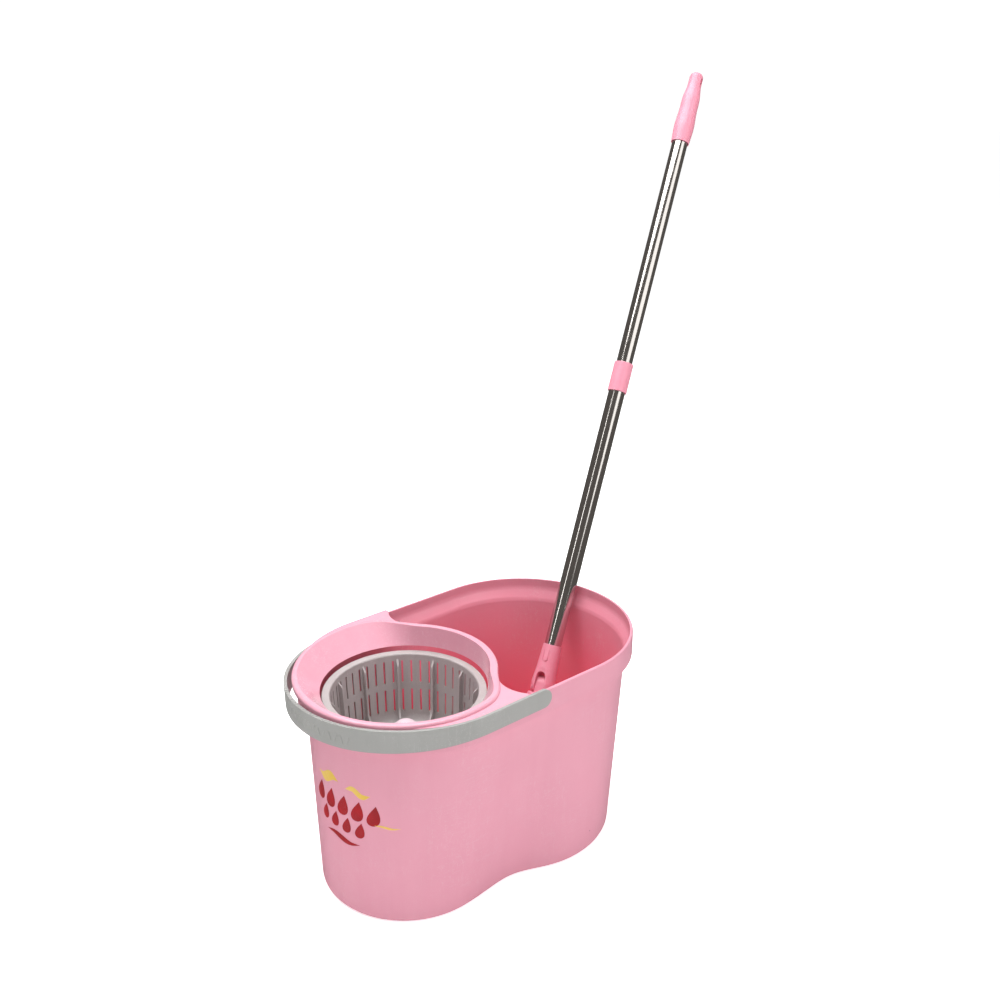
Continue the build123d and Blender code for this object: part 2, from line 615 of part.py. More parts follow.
with BuildPart() as grip:
    with BuildSketch(POLE_SIDE):
        with BuildLine():
            lower_skirt = Polyline((11.5, GRIP_BOTTOM + 5), (11.5, GRIP_BOTTOM), (12.3, GRIP_BOTTOM))
            swell = Spline(lower_skirt @ 1, (13.5, 774), (12.1, 796), (11.8, 814), (9.7, 828), (9.2, 842),
                           tangents=((0.05, 1), (0, 1)))
            ThreePointArc(swell @ 1, (6.5, 848.6), (0, GRIP_TOP))
            Polyline((0, GRIP_TOP), (0, UPPER_TUBE_TOP), (UPPER_TUBE_R, UPPER_TUBE_TOP),
                     (UPPER_TUBE_R, GRIP_BOTTOM + 5), (11.5, GRIP_BOTTOM + 5))
        make_face()
    revolve(axis=POLE_AXIS)
    # Slot to hang the mop by
    with BuildSketch(POLE_SIDE):
        with Locations((0, 837)):
            SlotOverall(12, 5, rotation=90)
    extrude(amount=20, both=True, mode=Mode.SUBTRACT)
save(grip, "grip")
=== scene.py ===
import json
import math
import random

import bmesh
import bpy
from mathutils import Matrix, Vector
from mathutils.bvhtree import BVHTree


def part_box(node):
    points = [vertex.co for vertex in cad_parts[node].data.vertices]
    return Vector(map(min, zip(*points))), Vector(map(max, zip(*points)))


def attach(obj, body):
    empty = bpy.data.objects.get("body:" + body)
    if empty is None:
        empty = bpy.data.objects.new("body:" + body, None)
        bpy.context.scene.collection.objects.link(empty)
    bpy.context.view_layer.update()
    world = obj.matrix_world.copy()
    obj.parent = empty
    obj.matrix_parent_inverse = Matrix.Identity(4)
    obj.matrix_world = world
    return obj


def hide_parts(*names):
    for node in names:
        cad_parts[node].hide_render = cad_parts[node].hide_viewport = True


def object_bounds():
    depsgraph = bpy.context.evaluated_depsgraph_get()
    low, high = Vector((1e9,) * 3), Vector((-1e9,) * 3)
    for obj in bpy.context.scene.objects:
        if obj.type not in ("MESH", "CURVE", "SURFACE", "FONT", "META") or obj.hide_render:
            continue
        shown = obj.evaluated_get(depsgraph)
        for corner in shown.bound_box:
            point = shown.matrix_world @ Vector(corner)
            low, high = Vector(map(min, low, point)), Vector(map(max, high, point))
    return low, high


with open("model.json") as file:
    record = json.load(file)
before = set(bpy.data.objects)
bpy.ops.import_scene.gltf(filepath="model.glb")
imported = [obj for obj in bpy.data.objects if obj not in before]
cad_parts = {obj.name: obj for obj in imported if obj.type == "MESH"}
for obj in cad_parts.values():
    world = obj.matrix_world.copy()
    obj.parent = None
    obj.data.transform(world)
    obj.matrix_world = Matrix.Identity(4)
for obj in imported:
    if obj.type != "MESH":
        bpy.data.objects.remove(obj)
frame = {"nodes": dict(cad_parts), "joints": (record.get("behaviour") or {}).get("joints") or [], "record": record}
cad_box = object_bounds()
nodes = frame["nodes"]
joints = {joint["name"]: joint for joint in frame["joints"]}

MM = 0.001


# ---------------------------------------------------------------- camera

CAMERA_AZIMUTH = math.radians(-40.42)
CAMERA_ELEVATION = math.radians(21.08)
CAMERA_DISTANCE = 1.3264
CAMERA_LENS = 41.364
CAMERA_AIM = Vector((0.0451, 0, 0.4374))


def add_camera():
    """Camera off the bucket's wringer end, looking down on it a little."""
    toward = Vector((
        math.sin(CAMERA_AZIMUTH) * math.cos(CAMERA_ELEVATION),
        -math.cos(CAMERA_AZIMUTH) * math.cos(CAMERA_ELEVATION),
        math.sin(CAMERA_ELEVATION),
    ))
    data = bpy.data.cameras.new("camera")
    data.sensor_width = 36
    data.lens = CAMERA_LENS
    camera = bpy.data.objects.new("camera", data)
    camera.location = CAMERA_AIM + toward * CAMERA_DISTANCE
    camera.rotation_mode = "QUATERNION"
    camera.rotation_quaternion = (-toward).to_track_quat("-Z", "Y")
    bpy.context.scene.collection.objects.link(camera)
    bpy.context.scene.camera = camera


add_camera()

# ---------------------------------------------------------------- places taken from the frame


def point_of(joint_name, key):
    """A joint's place or axis."""
    return Vector(joints[joint_name][key])


POLE_DIRECTION = point_of("telescope", "axis").normalized()
TILT_DIRECTION = Vector((0, 0, 1)).cross(POLE_DIRECTION).normalized()
POLE_FOOT = point_of("pole_tilt", "pos_m")
LEAN_DIRECTION = TILT_DIRECTION.cross(POLE_DIRECTION).normalized()
BUCKET_LOW, BUCKET_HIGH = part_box("bucket")
BAIL_CENTRE = Vector((-88 * MM, 0, 253.5 * MM))


def pole_matrix(along=0.0):
    """Local Z up the pole, local X the way that it leans, origin that far up from the tilt pivot."""
    turn = Matrix((LEAN_DIRECTION, TILT_DIRECTION, POLE_DIRECTION)).transposed().to_4x4()
    return Matrix.Translation(POLE_FOOT + POLE_DIRECTION * along) @ turn


# ---------------------------------------------------------------- node trees


def place(tree, kind, takes=None, **settings):
    """A shader node. An input given as a socket is linked, and any other value is set on it."""
    node = tree.nodes.new(kind)
    for name, value in settings.items():
        setattr(node, name, value)
    for name, value in (takes or {}).items():
        if isinstance(value, bpy.types.NodeSocket):
            tree.links.new(value, node.inputs[name])
        else:
            node.inputs[name].default_value = value
    return node


def sums(tree, operation, first, second=0.0, clamp=False):
    """A Math node's result."""
    takes = {0: first, 1: second}
    return place(tree, "ShaderNodeMath", takes, operation=operation, use_clamp=clamp).outputs[0]


def scaled(tree, value, factor):
    """A value multiplied by a constant."""
    return sums(tree, "MULTIPLY", value, factor)


def spread(tree, value, low, high, to_low=0.0, to_high=1.0):
    """A value spread from one range to another, held at its ends."""
    takes = {"Value": value, "From Min": low, "From Max": high, "To Min": to_low, "To Max": to_high}
    return place(tree, "ShaderNodeMapRange", takes).outputs["Result"]


def blend_colour(tree, factor, first, second):
    """A colour between two others."""
    node = place(tree, "ShaderNodeMix", data_type="RGBA", blend_type="MIX")
    for socket, value in ((node.inputs[0], factor), (node.inputs[6], first), (node.inputs[7], second)):
        if isinstance(value, bpy.types.NodeSocket):
            tree.links.new(value, socket)
        else:
            socket.default_value = value
    return node.outputs[2]


def colour(red, green, blue):
    """An 8-bit screen colour as linear light."""
    channels = [channel / 255 for channel in (red, green, blue)]
    return tuple(c / 12.92 if c <= 0.04045 else ((c + 0.055) / 1.055) ** 2.4 for c in channels) + (1,)


def new_group(name, takes, gives):
    """An empty node group with named sockets: its tree, its inputs and a function that fills an output."""
    tree = bpy.data.node_groups.new(name, "ShaderNodeTree")
    for label, kind, value in takes:
        socket = tree.interface.new_socket(name=label, in_out="INPUT", socket_type=kind)
        if value is not None:
            socket.default_value = value
    for label in gives:
        tree.interface.new_socket(name=label, in_out="OUTPUT", socket_type="NodeSocketFloat")
    entry = tree.nodes.new("NodeGroupInput")
    exit_node = tree.nodes.new("NodeGroupOutput")

    def give(label, socket):
        tree.links.new(socket, exit_node.inputs[label])

    return tree, entry.outputs, give


VECTOR, FLOAT = "NodeSocketVector", "NodeSocketFloat"


def build_moulded_skin():
    """Orange peel of moulded plastic, the slow drift of its colour, and flow lines running down it."""
    takes = [("Vector", VECTOR, None), ("Peel Scale", FLOAT, 400.0), ("Drift Scale", FLOAT, 9.0)]
    tree, given, give = new_group("moulded_skin", takes, ["Height", "Drift", "Flow"])
    peel = place(tree, "ShaderNodeTexNoise",
                 {"Vector": given["Vector"], "Scale": given["Peel Scale"], "Detail": 3.0, "Roughness": 0.6})
    pits = place(tree, "ShaderNodeTexVoronoi",
                 {"Vector": given["Vector"], "Scale": given["Peel Scale"], "Randomness": 1.0},
                 feature="SMOOTH_F1")
    give("Height", sums(tree, "ADD", peel.outputs["Fac"], scaled(tree, pits.outputs["Distance"], 0.5)))
    drift = place(tree, "ShaderNodeTexNoise",
                  {"Vector": given["Vector"], "Scale": given["Drift Scale"], "Detail": 4.0, "Roughness": 0.5})
    give("Drift", spread(tree, drift.outputs["Fac"], 0.32, 0.68))
    stretched = place(tree, "ShaderNodeMapping", {"Vector": given["Vector"], "Scale": (60.0, 60.0, 2.5)})
    flow = place(tree, "ShaderNodeTexNoise",
                 {"Vector": stretched.outputs["Vector"], "Scale": 1.0, "Detail": 3.0, "Roughness": 0.55})
    give("Flow", spread(tree, flow.outputs["Fac"], 0.42, 0.66))
    return tree


def build_handling_wear():
    """Fine scratches in three directions, rubbed patches, and a few dark specks."""
    takes = [("Vector", VECTOR, None), ("Scratch Scale", FLOAT, 30.0), ("Speck Scale", FLOAT, 26.0)]
    tree, given, give = new_group("handling_wear", takes, ["Scratches", "Rubbed", "Specks"])
    scratches = None
    for turn, stretch in (((0.3, 0.2, 0.5), (1.0, 16.0, 16.0)), ((1.1, 0.7, 0.2), (16.0, 1.0, 16.0)),
                          ((0.5, 1.3, 0.9), (16.0, 16.0, 1.2))):
        lines = place(tree, "ShaderNodeMapping",
                      {"Vector": given["Vector"], "Rotation": turn, "Scale": stretch})
        cells = place(tree, "ShaderNodeTexNoise",
                      {"Vector": lines.outputs["Vector"], "Scale": given["Scratch Scale"], "Detail": 2.0,
                       "Roughness": 0.5, "Distortion": 0.15})
        off_line = sums(tree, "ABSOLUTE", sums(tree, "SUBTRACT", cells.outputs["Fac"], 0.63))
        thin = spread(tree, off_line, 0.0, 0.012, 1.0, 0.0)
        scratches = thin if scratches is None else sums(tree, "MAXIMUM", scratches, thin)
    patches = place(tree, "ShaderNodeTexNoise", {"Vector": given["Vector"], "Scale": 14.0, "Detail": 5.0})
    rubbed = spread(tree, patches.outputs["Fac"], 0.5, 0.72)
    give("Rubbed", rubbed)
    give("Scratches", sums(tree, "MULTIPLY", scratches, spread(tree, patches.outputs["Fac"], 0.42, 0.62)))
    grit = place(tree, "ShaderNodeTexVoronoi",
                 {"Vector": given["Vector"], "Scale": given["Speck Scale"], "Randomness": 1.0})
    give("Specks", spread(tree, grit.outputs["Distance"], 0.01, 0.018, 1.0, 0.0))
    return tree


def build_settled_film():
    """Dust and dried water drops, on faces that look up."""
    takes = [("Vector", VECTOR, None), ("Amount", FLOAT, 0.5)]
    tree, given, give = new_group("settled_film", takes, ["Film"])
    normal = place(tree, "ShaderNodeTexCoord").outputs["Normal"]
    up = place(tree, "ShaderNodeSeparateXYZ", {"Vector": normal}).outputs["Z"]
    cloud = place(tree, "ShaderNodeTexNoise", {"Vector": given["Vector"], "Scale": 45.0, "Detail": 6.0})
    drops = place(tree, "ShaderNodeTexVoronoi", {"Vector": given["Vector"], "Scale": 70.0}, feature="F1")
    off_ring = sums(tree, "ABSOLUTE", sums(tree, "SUBTRACT", drops.outputs["Distance"], 0.3))
    ring = spread(tree, off_ring, 0.0, 0.05, 0.7, 0.0)
    both = sums(tree, "MAXIMUM", spread(tree, cloud.outputs["Fac"], 0.45, 0.8), ring)
    facing = spread(tree, up, 0.2, 0.95)
    give("Film", sums(tree, "MULTIPLY", sums(tree, "MULTIPLY", both, facing), given["Amount"]))
    return tree


def build_drawn_metal():
    """Hairlines that run along a drawn tube, with faint rings where it was polished."""
    takes = [("Vector", VECTOR, None), ("Line Scale", FLOAT, 2200.0)]
    tree, given, give = new_group("drawn_metal", takes, ["Height", "Lines", "Smears"])
    along = place(tree, "ShaderNodeMapping", {"Vector": given["Vector"], "Scale": (1.0, 1.0, 0.008)})
    lines = place(tree, "ShaderNodeTexNoise",
                  {"Vector": along.outputs["Vector"], "Scale": given["Line Scale"], "Detail": 2.0})
    round_it = place(tree, "ShaderNodeMapping", {"Vector": given["Vector"], "Scale": (0.05, 0.05, 1.0)})
    rings = place(tree, "ShaderNodeTexNoise",
                  {"Vector": round_it.outputs["Vector"], "Scale": 900.0, "Detail": 3.0})
    give("Height", sums(tree, "ADD", lines.outputs["Fac"], scaled(tree, rings.outputs["Fac"], 0.4)))
    give("Lines", spread(tree, lines.outputs["Fac"], 0.35, 0.65))
    smears = place(tree, "ShaderNodeTexNoise", {"Vector": given["Vector"], "Scale": 38.0, "Detail": 5.0})
    give("Smears", spread(tree, smears.outputs["Fac"], 0.45, 0.7))
    return tree


def build_split_fibre():
    """Fuzz of split microfibre: short hairs across a strand and clumps along it."""
    takes = [("Vector", VECTOR, None), ("Hair Scale", FLOAT, 900.0)]
    tree, given, give = new_group("split_fibre", takes, ["Height", "Clumps", "Hair"])
    hair = place(tree, "ShaderNodeTexNoise",
                 {"Vector": given["Vector"], "Scale": given["Hair Scale"], "Detail": 6.0, "Roughness": 0.75})
    loops = place(tree, "ShaderNodeTexVoronoi", {"Vector": given["Vector"], "Scale": 520.0}, feature="F1")
    give("Height", sums(tree, "SUBTRACT", hair.outputs["Fac"], scaled(tree, loops.outputs["Distance"], 0.6)))
    clumps = place(tree, "ShaderNodeTexNoise", {"Vector": given["Vector"], "Scale": 55.0, "Detail": 4.0})
    give("Clumps", spread(tree, clumps.outputs["Fac"], 0.35, 0.65))
    give("Hair", spread(tree, hair.outputs["Fac"], 0.35, 0.65))
    return tree


def build_bucket_inside_painted_shade():
    """Where the bucket's own walls and floor face inward, and how far down that is: the mask for the painted shade
    and red bounce light inside, and for keeping specks outside.
    """
    tree, given, give = new_group("bucket_inside_painted_shade", [("Vector", VECTOR, None)], ["Inside", "Depth"])
    spot = place(tree, "ShaderNodeSeparateXYZ", {"Vector": given["Vector"]}).outputs
    facing = place(tree, "ShaderNodeSeparateXYZ",
                   {"Vector": place(tree, "ShaderNodeTexCoord").outputs["Normal"]}).outputs
    spine = sums(tree, "MINIMUM", sums(tree, "MAXIMUM", spot["X"], BUCKET_LOW.x + 0.12), BUCKET_HIGH.x - 0.14)
    along = sums(tree, "MULTIPLY", sums(tree, "SUBTRACT", spot["X"], spine), facing["X"])
    outward = sums(tree, "ADD", along, sums(tree, "MULTIPLY", spot["Y"], facing["Y"]))
    walls = spread(tree, outward, -0.005, -0.04)
    below_rim = spread(tree, spot["Z"], BUCKET_HIGH.z - 0.008, BUCKET_HIGH.z - 0.02)
    bottom = sums(tree, "MULTIPLY", spread(tree, facing["Z"], 0.1, 0.4), below_rim)
    give("Inside", sums(tree, "MAXIMUM", walls, bottom))
    # How far down: the painted shade and red bounce light grow deeper towards the floor.
    give("Depth", spread(tree, spot["Z"], BUCKET_HIGH.z, BUCKET_HIGH.z - 0.17, 0.15, 1.0))
    return tree


MOULDED_SKIN = build_moulded_skin()
BUCKET_INSIDE_PAINTED_SHADE = build_bucket_inside_painted_shade()
HANDLING_WEAR = build_handling_wear()
SETTLED_FILM = build_settled_film()
DRAWN_METAL = build_drawn_metal()
SPLIT_FIBRE = build_split_fibre()

# ---------------------------------------------------------------- materials


def new_material(name):
    """A material with its Principled shader. Returns it, its tree, the shader and Object coordinates."""
    material = bpy.data.materials.new(name)
    material.use_nodes = True
    tree = material.node_tree
    shader = next(node for node in tree.nodes if node.type == "BSDF_PRINCIPLED")
    coordinates = place(tree, "ShaderNodeTexCoord").outputs["Object"]
    return material, tree, shader, coordinates


def fill_group(tree, group, takes):
    """A group placed in a material with its own values."""
    node = tree.nodes.new("ShaderNodeGroup")
    node.node_tree = group
    for name, value in takes.items():
        if isinstance(value, bpy.types.NodeSocket):
            tree.links.new(value, node.inputs[name])
        else:
            node.inputs[name].default_value = value
    return node.outputs


def finish_surface(tree, shader, base, roughness, height, depth):
    """Links colour, roughness and a bump of that depth in metres to the shader."""
    bump = place(tree, "ShaderNodeBump", {"Height": height, "Strength": 1.0, "Distance": depth})
    tree.links.new(base, shader.inputs["Base Color"])
    tree.links.new(roughness, shader.inputs["Roughness"])
    tree.links.new(bump.outputs["Normal"], shader.inputs["Normal"])


def moulded_plastic(name, fresh, worn, gloss, peel_scale, peel_depth, film=0.25, painted_inner_shade=None):
    """Injection-moulded plastic: fresh and worn colours, roughness, and the depth of its orange peel.

    The bucket also has painted shade and red bounce light on its inside, deeper towards the floor, and dark specks
    on its outside.
    """
    material, tree, shader, coordinates = new_material(name)
    skin = fill_group(tree, MOULDED_SKIN,
                      {"Vector": coordinates, "Peel Scale": peel_scale, "Drift Scale": 11.0})
    wear = fill_group(tree, HANDLING_WEAR,
                      {"Vector": coordinates, "Scratch Scale": 26.0, "Speck Scale": 19.0})
    dust = fill_group(tree, SETTLED_FILM, {"Vector": coordinates, "Amount": film})
    drift = sums(tree, "ADD", scaled(tree, skin["Drift"], 0.55), scaled(tree, skin["Flow"], 0.35))
    base = blend_colour(tree, drift, fresh, worn)
    pale = tuple(channel * 0.25 + 0.75 * 0.9 for channel in fresh[:3]) + (1,)
    if painted_inner_shade:
        # Painted shade and red bounce light: the inside is blended towards a deeper red, more so further down.
        inside = fill_group(tree, BUCKET_INSIDE_PAINTED_SHADE, {"Vector": coordinates})
        base = blend_colour(tree, inside["Inside"], base, blend_colour(tree, inside["Depth"], fresh, painted_inner_shade))
    base = blend_colour(tree, scaled(tree, wear["Scratches"], 0.3), base, pale)
    base = blend_colour(tree, scaled(tree, dust["Film"], 0.5), base, pale)
    if painted_inner_shade:
        outside = sums(tree, "SUBTRACT", 1.0, inside["Inside"])
        specks = sums(tree, "MULTIPLY", scaled(tree, wear["Specks"], 0.8), outside)
        base = blend_colour(tree, specks, base, colour(120, 60, 70))
    rough = sums(tree, "ADD", scaled(tree, skin["Drift"], 0.05), gloss)
    rough = sums(tree, "ADD", rough, scaled(tree, wear["Rubbed"], 0.06))
    rough = sums(tree, "ADD", rough, scaled(tree, wear["Scratches"], 0.25))
    rough = sums(tree, "ADD", rough, scaled(tree, dust["Film"], 0.3), clamp=True)
    height = sums(tree, "SUBTRACT", skin["Height"], scaled(tree, wear["Scratches"], 1.5))
    finish_surface(tree, shader, base, rough, height, peel_depth)
    shader.inputs["IOR"].default_value = 1.49
    return material


def polished_tube(name, bright, dull, roughness, line_depth):
    """Polished stainless tube, with hairlines along the pole."""
    material, tree, shader, coordinates = new_material(name)
    turn = pole_matrix().inverted().to_euler()
    level = place(tree, "ShaderNodeMapping", {"Vector": coordinates, "Rotation": tuple(turn)})
    metal = fill_group(tree, DRAWN_METAL, {"Vector": level.outputs["Vector"], "Line Scale": 2400.0})
    wear = fill_group(tree, HANDLING_WEAR, {"Vector": level.outputs["Vector"], "Scratch Scale": 40.0})
    base = blend_colour(tree, scaled(tree, metal["Lines"], 0.6), bright, dull)
    rough = sums(tree, "ADD", scaled(tree, metal["Lines"], 0.035), roughness)
    rough = sums(tree, "ADD", rough, scaled(tree, metal["Smears"], 0.05))
    rough = sums(tree, "ADD", rough, scaled(tree, wear["Scratches"], 0.12), clamp=True)
    finish_surface(tree, shader, base, rough, metal["Height"], line_depth)
    shader.inputs["Metallic"].default_value = 1.0
    return material


def turned_steel(name, bright, dull, roughness):
    """Small turned or drawn steel parts: dull grey, a little stained."""
    material, tree, shader, coordinates = new_material(name)
    metal = fill_group(tree, DRAWN_METAL, {"Vector": coordinates, "Line Scale": 1500.0})
    base = blend_colour(tree, metal["Smears"], bright, dull)
    rough = sums(tree, "ADD", scaled(tree, metal["Smears"], 0.12), roughness, clamp=True)
    finish_surface(tree, shader, base, rough, metal["Height"], 0.00002)
    shader.inputs["Metallic"].default_value = 1.0
    return material


def microfibre(name, pale, shade):
    """White split microfibre: fuzzy, soft, with painted shade making it greyer between the clumps."""
    material, tree, shader, coordinates = new_material(name)
    fibre = fill_group(tree, SPLIT_FIBRE, {"Vector": coordinates, "Hair Scale": 900.0})
    # Painted shade: the grey shade colour fills in between the clumps and hairs.
    tone = sums(tree, "ADD", scaled(tree, fibre["Clumps"], 0.5), scaled(tree, fibre["Hair"], 0.4))
    base = blend_colour(tree, tone, shade, pale)
    rough = spread(tree, fibre["Hair"], 0.0, 1.0, 0.8, 0.95)
    finish_surface(tree, shader, base, rough, fibre["Height"], 0.0012)
    shader.inputs["Sheen Weight"].default_value = 0.5
    shader.inputs["Sheen Roughness"].default_value = 0.5
    shader.inputs["Specular IOR Level"].default_value = 0.2
    return material


def printed_ink(name, full, thin):
    """Screen-printed ink, thinner in places, on the bucket's skin."""
    material, tree, shader, coordinates = new_material(name)
    skin = fill_group(tree, MOULDED_SKIN, {"Vector": coordinates, "Peel Scale": 600.0, "Drift Scale": 40.0})
    wear = fill_group(tree, HANDLING_WEAR, {"Vector": coordinates, "Scratch Scale": 60.0})
    base = blend_colour(tree, skin["Drift"], full, thin)
    base = blend_colour(tree, scaled(tree, wear["Scratches"], 0.35), base, PINK_WORN)
    rough = sums(tree, "ADD", scaled(tree, skin["Drift"], 0.1), 0.3, clamp=True)
    finish_surface(tree, shader, base, rough, skin["Height"], 0.00003)
    return material


PINK_FRESH, PINK_WORN = (0.80, 0.36, 0.455, 1), (0.775, 0.335, 0.43, 1)
# Painted shade and red bounce light for the bucket's inside, not a colour of the plastic.
PINK_PAINTED_SHADE = (0.98, 0.11, 0.185, 1)
RING_FRESH, RING_WORN = (0.86, 0.42, 0.52, 1), (0.83, 0.39, 0.49, 1)
POLE_FRESH, POLE_WORN = (0.85, 0.31, 0.41, 1), (0.82, 0.285, 0.38, 1)

MATERIALS = {
    "bucket_pink": moulded_plastic("bucket_satin_pink", PINK_FRESH, PINK_WORN, 0.3, 900.0, 0.00003,
                                   film=0.12, painted_inner_shade=PINK_PAINTED_SHADE),
    "ring_pink": moulded_plastic("ring_gloss_pink", RING_FRESH, RING_WORN, 0.12, 500.0, 0.00001, film=0.1),
    "pole_pink": moulded_plastic("pole_fitting_pink", POLE_FRESH, POLE_WORN, 0.3, 1200.0, 0.00003),
    "handle_grey": moulded_plastic("handle_satin_grey", (0.39, 0.39, 0.375, 1), (0.35, 0.35, 0.335, 1), 0.36,
                                   1400.0, 0.00004),
    "basket_grey": moulded_plastic("basket_warm_grey", (0.50, 0.455, 0.45, 1), (0.45, 0.41, 0.405, 1), 0.3,
                                   1100.0, 0.00003, film=0.3),
    "hub_white": moulded_plastic("hub_cap_white", (0.78, 0.62, 0.68, 1), (0.74, 0.58, 0.64, 1), 0.25,
                                 900.0, 0.00002),
    "bush_white": moulded_plastic("bush_slippery_white", (0.72, 0.72, 0.67, 1), (0.63, 0.63, 0.57, 1), 0.4,
                                  1500.0, 0.00002),
    "head_white": moulded_plastic("head_plate_white", (0.78, 0.78, 0.78, 1), (0.71, 0.72, 0.72, 1), 0.32,
                                  900.0, 0.00003, film=0.4),
    "stainless": polished_tube("stainless_tube", (0.66, 0.63, 0.60, 1), (0.58, 0.55, 0.52, 1), 0.09,
                               0.000004),
    "zinc_steel": turned_steel("zinc_plated_steel", (0.55, 0.55, 0.53, 1), (0.42, 0.42, 0.40, 1), 0.3),
    "spring_steel": turned_steel("spring_steel", (0.35, 0.34, 0.33, 1), (0.26, 0.25, 0.24, 1), 0.25),
    "yarn_white": microfibre("microfibre_white", (0.86, 0.86, 0.85, 1), (0.62, 0.63, 0.64, 1)),
}
PRINT_RED = printed_ink("print_red", colour(186, 16, 28), colour(160, 12, 24))
PRINT_YELLOW = printed_ink("print_yellow", colour(236, 196, 70), colour(242, 206, 110))


def dress_cad_nodes():
    """Each CAD node takes the material of its slot in the record."""
    for row in frame["record"]["subparts"]:
        piece = nodes[row["node"]]
        piece.data.materials.clear()
        piece.data.materials.append(MATERIALS[row["material_slot"]])


dress_cad_nodes()

# ---------------------------------------------------------------- new pieces


def finished_piece(name, mesh, material, body, smooth=True):
    """A mesh that is already in place becomes a piece that rides on a body."""
    mesh.name = name
    mesh.materials.clear()
    mesh.materials.append(material)
    mesh.polygons.foreach_set("use_smooth", [smooth] * len(mesh.polygons))
    piece = bpy.data.objects.new(name, mesh)
    bpy.context.scene.collection.objects.link(piece)
    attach(piece, body)
    return piece


# Mop strands: they hang from the refill ring, reach the bucket's floor and lie over on it.

STRAND_R = 2.3 * MM
STRAND_STEPS = 10
STRAND_ROWS = ((71.0 * MM, 74), (66.0 * MM, 68), (61.5 * MM, 62))  # ring radius and number of strands
STRAND_LENGTHS = (0.135, 0.155)
STRAND_WANDER = 0.16  # how far a hanging strand strays sideways
CROWDED_FROM = 0.62  # share of the reach past which a lying strand turns back in
FLOOR_CLEAR = 1.2 * MM


def strand_path(start, outward, length, floor_height, middle, reach, lots):
    """Points of one strand: out of the ring, down under its weight, then along the floor inside the reach."""
    points = [start.copy()]
    heading = (-POLE_DIRECTION * 0.7 + outward * 0.35).normalized()
    bend_side = lots.choice((-1, 1))
    step = length / STRAND_STEPS
    here = start.copy()
    down = Vector((0, 0, -1))
    for index in range(STRAND_STEPS):
        above = here.z - floor_height
        if above > step * 1.3:
            pull = 0.35 + 0.05 * index
            wander = Vector((lots.uniform(-1, 1), lots.uniform(-1, 1), 0)) * STRAND_WANDER
            heading = (heading * (1 - pull) + down * pull + wander * 0.6).normalized()
        else:
            away = Vector((here.x - middle.x, here.y - middle.y, 0))
            spread_out = away.normalized() if away.length > 1e-6 else outward
            round_it = Vector((-spread_out.y, spread_out.x, 0)) * bend_side
            inward = max(0.0, away.length / reach - CROWDED_FROM) * 2.4
            flat = (round_it * 0.75 + spread_out * (0.55 - inward)).normalized()
            fall = Vector((0, 0, -max(0.0, above) / step))
            heading = (heading * 0.25 + flat * 0.75 + fall * 0.8).normalized()
        here = here + heading * step
        away = Vector((here.x - middle.x, here.y - middle.y, 0))
        if away.length > reach:
            away = away * (reach / away.length)
            here = Vector((middle.x + away.x, middle.y + away.y, here.z))
        here.z = max(here.z, floor_height)
        points.append(here.copy())
    return points


def strand_curve(name, paths):
    """All the strands of a row as one tube curve, made a mesh."""
    data = bpy.data.curves.new(name, "CURVE")
    data.dimensions = "3D"
    data.bevel_depth = STRAND_R
    data.bevel_resolution = 1
    data.resolution_u = 1
    data.use_fill_caps = True
    for path in paths:
        spline = data.splines.new("POLY")
        spline.points.add(len(path) - 1)
        for index, (point, place_on) in enumerate(zip(spline.points, path)):
            point.co = (*place_on, 1)
            point.radius = 0.78 if index in (0, len(path) - 1) else 1.0 + 0.1 * math.sin(index * 2.1)
    piece = bpy.data.objects.new(name, data)
    bpy.context.scene.collection.objects.link(piece)
    mesh = bpy.data.meshes.new_from_object(piece)
    bpy.data.objects.remove(piece)
    return mesh


def hang_strands():
    lots = random.Random(7)
    low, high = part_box("microfiber_yarn")
    middle = (low + high) / 2
    reach = (high.x - low.x) / 2 - STRAND_R
    ring = pole_matrix(refill_ring_bottom() - 0.5 * MM)
    for row, (radius, count) in enumerate(STRAND_ROWS):
        paths = []
        for index in range(count):
            angle = 2 * math.pi * (index + 0.5 * (row % 2) + lots.uniform(-0.2, 0.2)) / count
            outward = (LEAN_DIRECTION * math.cos(angle) + TILT_DIRECTION * math.sin(angle)).normalized()
            start = ring.translation + outward * radius
            level = low.z + STRAND_R + FLOOR_CLEAR * row * 1.5 + lots.uniform(0, 1) * 5 * MM
            length = lots.uniform(*STRAND_LENGTHS)
            paths.append(strand_path(start, outward, length, level, middle, reach, lots))
        mesh = strand_curve(f"strands_row_{row + 1}", paths)
        finished_piece(f"strands_row_{row + 1}", mesh, MATERIALS["yarn_white"], "mop_head")
    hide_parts("microfiber_yarn")


def refill_ring_bottom():
    """How far along the pole from the tilt pivot the underside of the refill ring is."""
    return min((vertex.co - POLE_FOOT).dot(POLE_DIRECTION) for vertex in nodes["refill_ring"].data.vertices)


hang_strands()


# Printed drops and waves on the bucket's wringer end, and raised bars on the bail handle.

PRINT_PROUD = 0.12 * MM
DROP_POINTS = 28
DROP_LEAN = 0.22
WAVE_STEPS = 20
GRIP_BARS = 14
GRIP_BAR_SIZE = (2.4 * MM, 9.5 * MM, 1.0 * MM)
GRIP_BAR_SLANT = math.radians(18)
WRINGER_END = Vector((-95 * MM, 0, 0))
WALL_R = 115 * MM


def surface_of(node):
    """A node's skin, for finding where a piece lies on it."""
    shell = bmesh.new()
    shell.from_mesh(nodes[node].data)
    tree = BVHTree.FromBMesh(shell)
    shell.free()
    return tree


def skin_point(skin, centre, angle, height, proud):
    """Where the skin is, seen from outside at that angle and height round a centre. Gives its normal too."""
    outward = Vector((math.cos(angle), math.sin(angle), 0))
    level = Vector((centre.x, centre.y, height))
    spot, normal, _, _ = skin.ray_cast(level + outward * 0.4, -outward)
    return spot + normal * proud, normal


